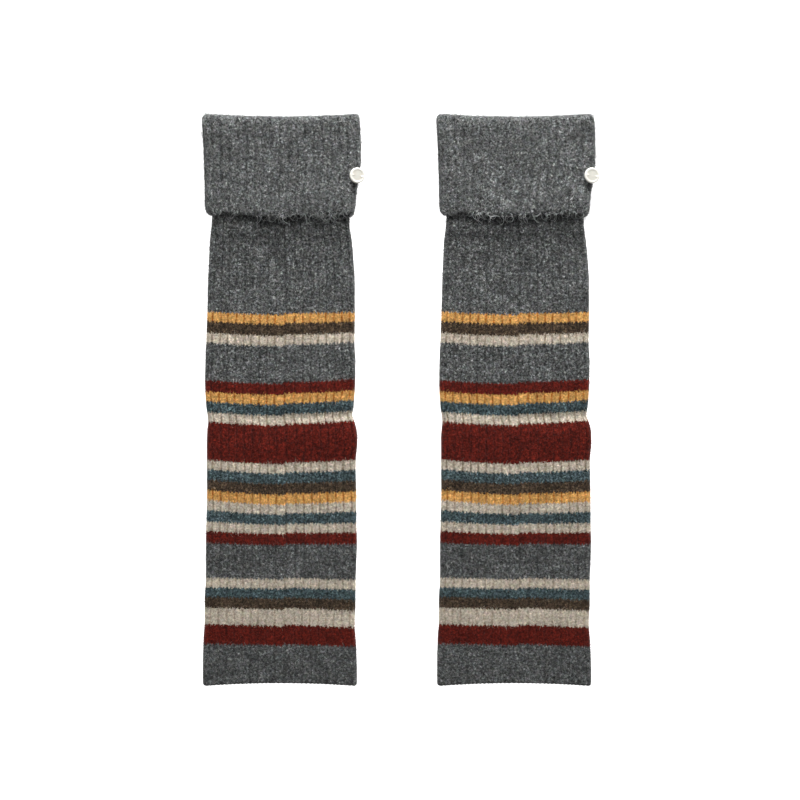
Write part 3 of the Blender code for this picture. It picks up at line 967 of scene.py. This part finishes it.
def wool(name, chart, for_fibres=False, lighter=1.0, rib_shadow=1.0):
    """The colour is the chart's, times e to the power of the flecks by the yarn's fleck strength:
    heather with clumps of every size, plus light strands, less dark strands. In a groove the colour
    is multiplied by itself, most on light colours: a painted shade, for the shadow there and for
    light that is reflected twice. The knit is more open away from the hem, and both show more there."""
    r = Recipe(name)
    number = r.add("ShaderNodeSeparateXYZ", {0: r.add("ShaderNodeUVMap", (), {"uv_map": "knit"})})
    height = number.node.outputs[1]
    from_middle = r.calc("ABSOLUTE", r.line(r.calc("FRACT", number), 2.0, -1.0))
    across = r.calc("ABSOLUTE", r.line(from_middle, 2 / GROOVE_EDGE, -1.0))
    teeth = r.line(r.calc("MINIMUM", across, 1.0), -TOOTH, TOOTH / 2)
    ragged = r.swing(2.2, 0.75, 2.0, 0.8, seed=31.0)
    frayed = r.swing(1.8, 2.6, 1.0, seed=205.0)
    colour, strength = striped(r, chart, r.sum(height, teeth, ragged, frayed), lighter)

    if for_fibres:
        flecks, relief = r.mark("tone"), {}
    else:
        clumps = r.swing(1.5, 0.10, 3.0, 0.85, 0.4, seed=77.0)
        grain = r.swing(3.0, 0.52, 1.0, 0.9, 0.3, seed=140.0)
        light, light_fine = r.strands(0.24, 0.05, seed=170.0), r.strands(0.42, 0.06, seed=92.0)
        dark = r.strands(0.30, 0.06, seed=54.0)
        strands = r.line(light, 0.9, r.line(light_fine, 0.8, r.line(dark, -0.8, -0.2)))
        open_knit = r.ease(height, 60.0, 200.0)
        flecks = r.product(r.sum(clumps, grain, strands), r.line(open_knit, 0.20, 0.88))
        wander = r.swing(0.25, 0.4, 2.0, 0.7, seed=44.0)
        # painted shade: the colour is darkened in the grooves between ribs, patchily, most on light
        # colours
        in_groove = r.ease(r.sum(from_middle, wander), 0.60, 1.0)
        patchy = r.ease(r.noise(0.14, 3.0, 0.7, seed=61.0), 0.36, 0.6, 0.45, 1.0)
        depth = r.ease(r.add("ShaderNodeRGBToBW", {0: colour}), 0.02, 0.3, 0.30, 1.0)
        groove = r.product(in_groove, patchy, r.line(open_knit, 0.45, 0.55), depth, rib_shadow)
        colour = r.blend(groove, colour, colour)
        colour.node.blend_type = "MULTIPLY"
        relief = {"Normal": knit_bump(r, across, height, light)}
    tinted = r.blend(TINT, colour, r.noise(0.30, 2.0, 0.8, seed=66.0, output="Color"))
    tinted.node.blend_type = "OVERLAY"
    lit = r.scaled(tinted, r.calc("EXPONENT", r.product(flecks, strength)))
    return r.finish({"Base Color": lit, **DULL, **SHEEN, **relief})


def knit_bump(r, across, height, fibre):
    """V stitches, each a slanted arm that rises and falls once a course, under felted fibres."""
    course = r.calc("FRACT", r.line(across, 0.5, r.calc("DIVIDE", height, COURSE)))
    loop = r.calc("SINE", r.product(course, np.pi))
    middle = r.calc("POWER", r.line(across, 2.0, -1.0), 2.0)
    stitch = r.product(loop, r.calc("MAXIMUM", r.calc("SUBTRACT", 1.0, middle), 0.0))
    felted = r.line(r.noise(1.3, 4.0, 0.7, seed=88.0), 1.5, fibre)
    return r.bump(felted, 0.22, 0.7, Normal=r.bump(stitch, 0.16, 0.6))


# %% Mix the finishes
CUFF_CHART = ((600.0, "charcoal"),)

leg_wool = wool("striped wool", CHART)
leg_fibre = wool("striped wool fibre", CHART, for_fibres=True)
cuff_wool = wool("cuff wool", CUFF_CHART, lighter=1.18, rib_shadow=0.9)
cuff_fibre = wool("cuff wool fibre", CUFF_CHART, for_fibres=True, lighter=1.18)


# %% [markdown]
# ## Button and thread finishes
# The button is a pale resin made to look like shell: cream, glossy, with the faintest green and
# pink clouds. A thin film would do that physically, but so faint a colour is simply mixed in.

# %% Pearl and thread
def pearl():
    """Cream, with soft clouds of green and pink in the dish, a paler rim, which is a painted
    highlight, and a clear glossy coat."""
    r = Recipe("pearl button")
    cloud = r.ease(r.noise(0.25, 2.0, 0.5, 0.8, seed=12.0), 0.35, 0.65)
    faint = r.noise(0.9, 2.0, 0.5, 0.4, seed=35.0)
    green, pink, rim = (linear(s) for s in ((187, 187, 177), (191, 186, 175), (216, 214, 206)))
    # painted highlight: the rim gets a paler colour than the sunk dish
    colour = r.blend(r.mark("sunk"), rim, r.blend(cloud, green, pink))
    pale, rough = r.blend(r.product(faint, 0.2), colour, rim), r.line(faint, 0.12, 0.18)
    coat = {"Coat Weight": 0.6, "Coat Roughness": 0.08}
    return r.finish({"Base Color": pale, "Roughness": rough, **coat})


def sewing_thread():
    """Grey thread with fine slanted lines where its plies twist."""
    r = Recipe("sewing thread")
    ply = r.noise(6.0, 2.0, 0.6, seed=5.0)
    colour = r.blend(ply, linear((70, 72, 74)), linear((120, 122, 124)))
    return r.finish({"Base Color": colour, "Normal": r.bump(ply, 0.05), "Roughness": 0.75})


pearl_finish, thread_finish = pearl(), sewing_thread()

# %% [markdown]
# ## Dress the solids
# Every piece rides on the one rigid body, and the solid that it stands for is hidden.

# %% Finish and ride of each piece, and its hidden solid
def dress(piece, material, node=None):
    piece.data.materials.append(material)
    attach(piece, "root")
    if node:
        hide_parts(node)


for side in SIDES:
    dress(legs[side].piece, leg_wool, side + "_leg")
    dress(leg_naps[side], leg_fibre)
    dress(cuffs[side].piece, cuff_wool, side + "_cuff")
    dress(cuff_naps[side], cuff_fibre)
    dress(cuff_strays[side], cuff_fibre)
    dress(buttons[side], pearl_finish, side + "_button")
    dress(threads[side], thread_finish, side + "_button")

# %% [markdown]
# ## Table, light and camera
# The pair lies on a white table under a wide, soft light from beyond its tops, so the cuffs throw
# a short shade on the legs. The camera hangs straight above, and so far away that nothing leans
# outwards.

# %% The white table
scene = bpy.context.scene
TABLE_HALF, TABLE_HEIGHT = 3.0, -0.2 * MM
WHITE = (1.0, 1.0, 1.0, 1)

corners = TABLE_HALF * np.array([[-1, -1, 0], [1, -1, 0], [1, 1, 0], [-1, 1, 0]])
table_mesh = bpy.data.meshes.new("table")
table_mesh.from_pydata((corners + [0, 0, TABLE_HEIGHT]).tolist(), [], [(0, 1, 2, 3)])
white_table = bpy.data.objects.new("table", table_mesh)
scene.collection.objects.link(white_table)
glow = {"Emission Color": WHITE, "Emission Strength": 1.2}
paint = {"Base Color": (0.93, 0.93, 0.93, 1), "Roughness": 0.95}
table_mesh.materials.append(Recipe("white table").finish({**paint, **glow}))

# %% Sky light and a soft key
SKY_STRENGTH = 0.28
KEY_WATTS, KEY_SIZE, KEY_PLACE = 83.0, 1.2, (0.15, 1.65, 0.68)

sky = bpy.data.worlds.new("studio")
sky.use_nodes = True
background = sky.node_tree.nodes["Background"]
background.inputs["Color"].default_value = WHITE
background.inputs["Strength"].default_value = SKY_STRENGTH
scene.world = sky

key_light = bpy.data.lights.new("key", "AREA")
key_light.energy = KEY_WATTS
key_light.size = KEY_SIZE
key = bpy.data.objects.new("key", key_light)
key.location = KEY_PLACE
key.rotation_euler = key.location.to_track_quat("Z", "Y").to_euler()
scene.collection.objects.link(key)

# %% The camera, straight above
VIEW_ACROSS = 0.640  # metres of table across the picture
CAMERA_HEIGHT = 4.0
VIEW_CENTRE = (-0.47 * MM, 0.11 * MM)

camera_data = bpy.data.cameras.new("camera")
camera_data.sensor_width = 36.0
camera_data.lens = camera_data.sensor_width * CAMERA_HEIGHT / VIEW_ACROSS
camera = bpy.data.objects.new("camera", camera_data)
camera.location = (*VIEW_CENTRE, CAMERA_HEIGHT)
scene.collection.objects.link(camera)
scene.camera = camera
scene.view_settings.view_transform = "Standard"
print("lens, mm:", round(camera_data.lens, 1))
